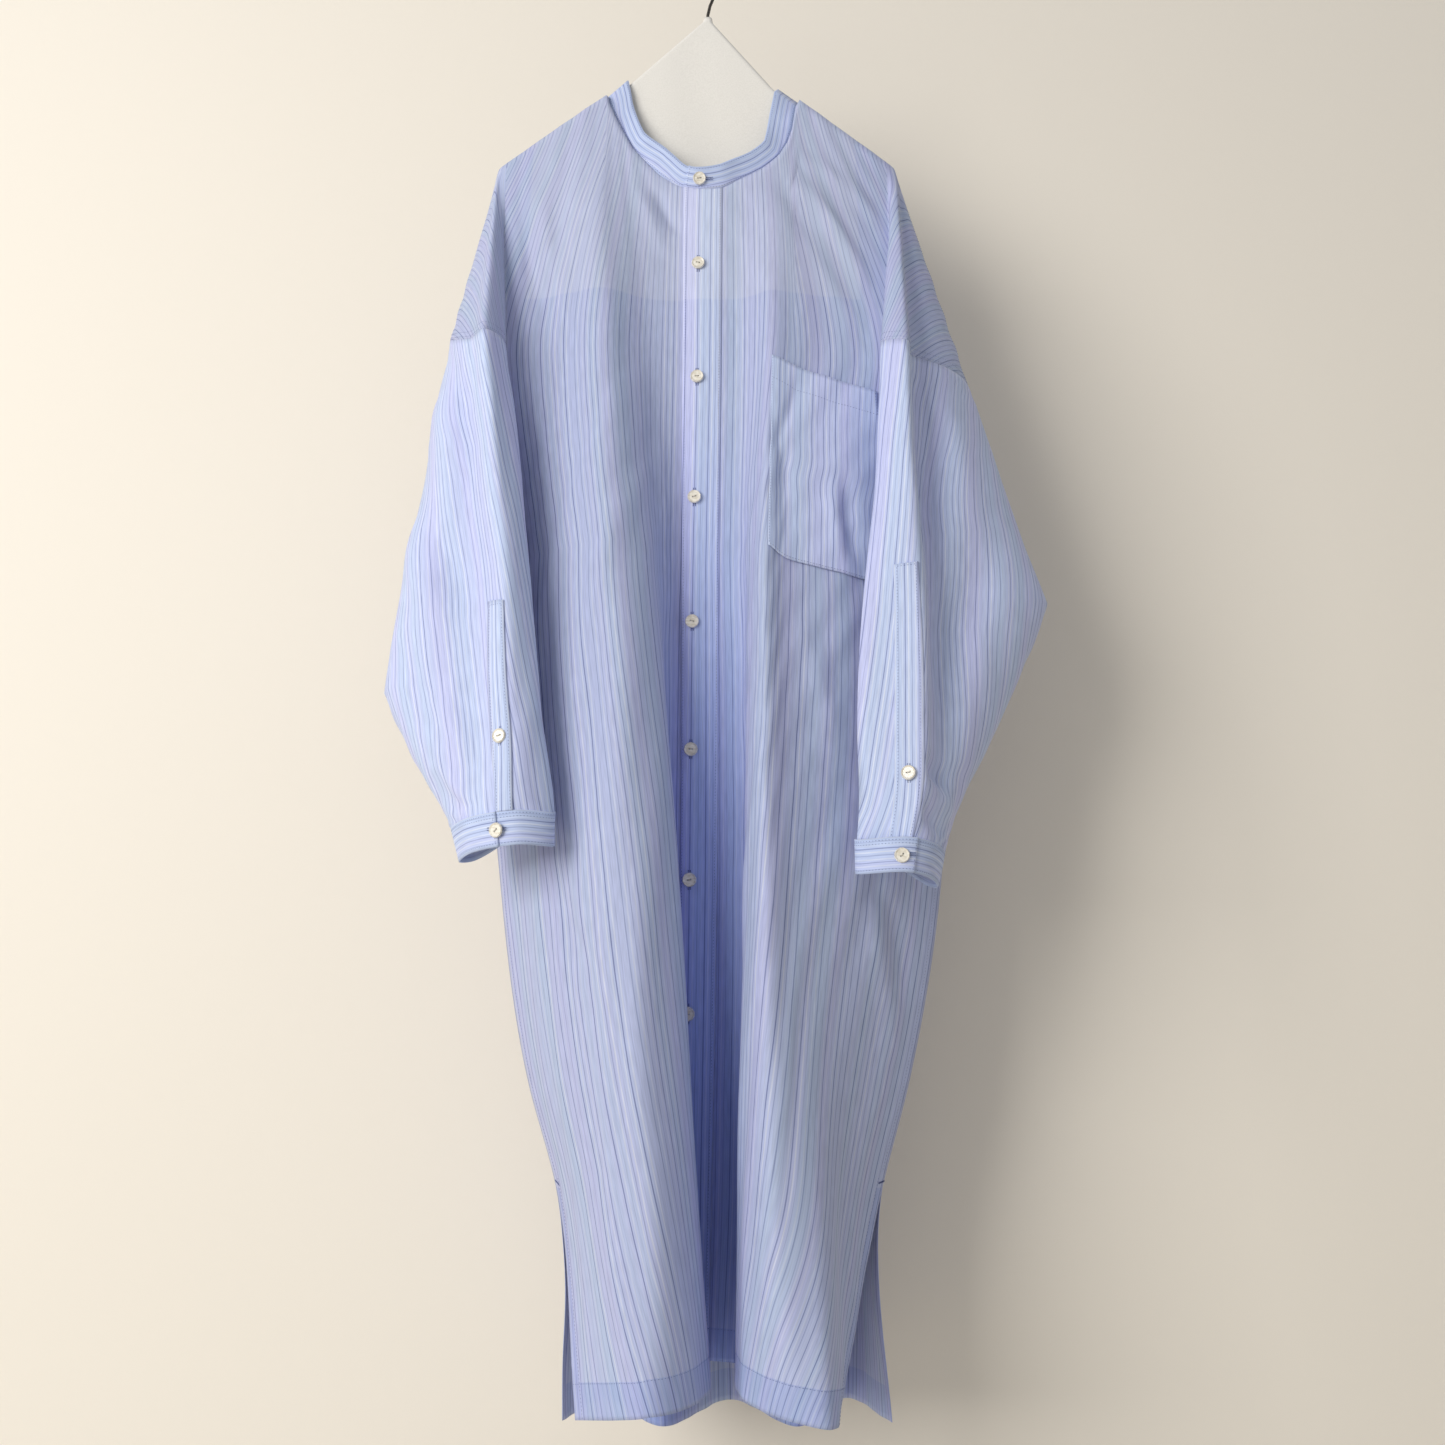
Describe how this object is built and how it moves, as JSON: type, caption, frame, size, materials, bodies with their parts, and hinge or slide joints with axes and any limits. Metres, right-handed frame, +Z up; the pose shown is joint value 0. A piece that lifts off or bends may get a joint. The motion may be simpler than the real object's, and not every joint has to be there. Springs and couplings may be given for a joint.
{
  "type": "band collar shirt dress on a covered hanger",
  "caption": "Long striped cotton shirt dress with band collar, button front, chest pocket and dropped sleeves, hanging in soft folds on a covered hanger",
  "frame": {"origin": "inside top of the hanger's hook, where a rail carries it", "axes": "+Z up, front of the dress toward -Y, wearer's left toward +X"},
  "size_m": [0.565, 0.2306, 1.3158],
  "materials": {
    "striped_cotton": "fine plain weave, pale blue with thin navy lines",
    "shell_button": "cream shell, softly polished",
    "cover_cotton": "plain off-white cotton",
    "bar_wood": "plain turned wood",
    "hook_wire": "dark steel wire"
  },
  "bodies": {
    "root": {"back_panel": "striped_cotton", "button_band": "striped_cotton", "button_collar": "shell_button", "button_cuff_left": "shell_button", "button_cuff_right": "shell_button", "button_front_1": "shell_button", "button_front_2": "shell_button", "button_front_3": "shell_button", "button_front_4": "shell_button", "button_front_5": "shell_button", "button_front_6": "shell_button", "button_front_7": "shell_button", "button_placket_left": "shell_button", "button_placket_right": "shell_button", "chest_pocket": "striped_cotton", "collar_band": "striped_cotton", "cuff_left": "striped_cotton", "cuff_right": "striped_cotton", "front_left_panel": "striped_cotton", "front_right_panel": "striped_cotton", "hanger_bar": "bar_wood", "hanger_cover": "cover_cotton", "hanger_hook": "hook_wire", "sleeve_left": "striped_cotton", "sleeve_placket_left": "striped_cotton", "sleeve_placket_right": "striped_cotton", "sleeve_right": "striped_cotton"}
  },
  "joints": []
}
